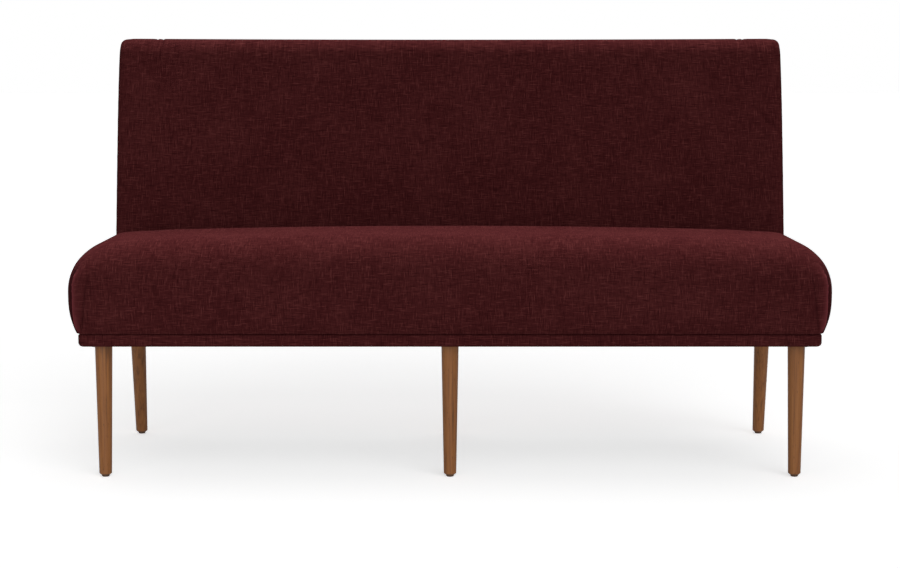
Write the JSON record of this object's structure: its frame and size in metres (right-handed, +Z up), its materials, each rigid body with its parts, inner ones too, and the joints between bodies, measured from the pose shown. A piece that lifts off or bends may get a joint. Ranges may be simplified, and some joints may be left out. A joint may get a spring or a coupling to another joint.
{
  "type": "upholstered dining bench",
  "caption": "Armless upholstered dining bench with a tight crowned seat, a reclined full-width back, a cloth-wrapped base and round tapered wooden legs.",
  "frame": {"origin": "on the floor under the middle of the bench's outline", "axes": "+X along the bench, -Y the front, +Z up"},
  "size_m": [1.514, 0.6856, 0.873],
  "materials": {
    "leg_wood": "satin walnut stain, turned",
    "glide_plastic": "dark brown moulded",
    "cover_cloth": "wine red linen weave",
    "frame_wood": "sawn hardwood",
    "panel_board": "thin board covered in the same cloth",
    "padding_foam": "open cell foam",
    "padding_wadding": "polyester wadding",
    "inner_cloth": "black spunbond and webbing",
    "fixing_steel": "zinc plated"
  },
  "bodies": {
    "root": {"back_bolts": "fixing_steel", "back_center_post": "frame_wood", "back_cover": "cover_cloth", "back_foam": "padding_foam", "back_frame_dowels": "frame_wood", "back_inserts": "fixing_steel", "back_left_post": "frame_wood", "back_right_post": "frame_wood", "back_sill": "frame_wood", "back_top_rail": "frame_wood", "back_wadding": "padding_wadding", "back_webbing": "inner_cloth", "base_center_board": "frame_wood", "base_front_board": "frame_wood", "base_left_board": "frame_wood", "base_rear_board": "frame_wood", "base_right_board": "frame_wood", "base_wrap": "cover_cloth", "corner_block_screws": "fixing_steel", "deck_cloth": "inner_cloth", "dust_cover": "inner_cloth", "glide_front_left": "glide_plastic", "glide_front_middle": "glide_plastic", "glide_front_right": "glide_plastic", "glide_rear_left": "glide_plastic", "glide_rear_middle": "glide_plastic", "glide_rear_right": "glide_plastic", "hanger_bolts": "fixing_steel", "leg_front_left": "leg_wood", "leg_front_middle": "leg_wood", "leg_front_right": "leg_wood", "leg_rear_left": "leg_wood", "leg_rear_middle": "leg_wood", "leg_rear_right": "leg_wood", "outside_back": "panel_board", "seat_center_rail": "frame_wood", "seat_corner_blocks": "frame_wood", "seat_cover": "cover_cloth", "seat_foam": "padding_foam", "seat_frame_dowels": "frame_wood", "seat_front_rail": "frame_wood", "seat_left_rail": "frame_wood", "seat_rear_rail": "frame_wood", "seat_right_rail": "frame_wood", "seat_to_base_screws": "fixing_steel", "seat_wadding": "padding_wadding", "sinuous_springs": "fixing_steel", "spring_clips": "fixing_steel", "tee_nuts": "fixing_steel"}
  },
  "joints": []
}
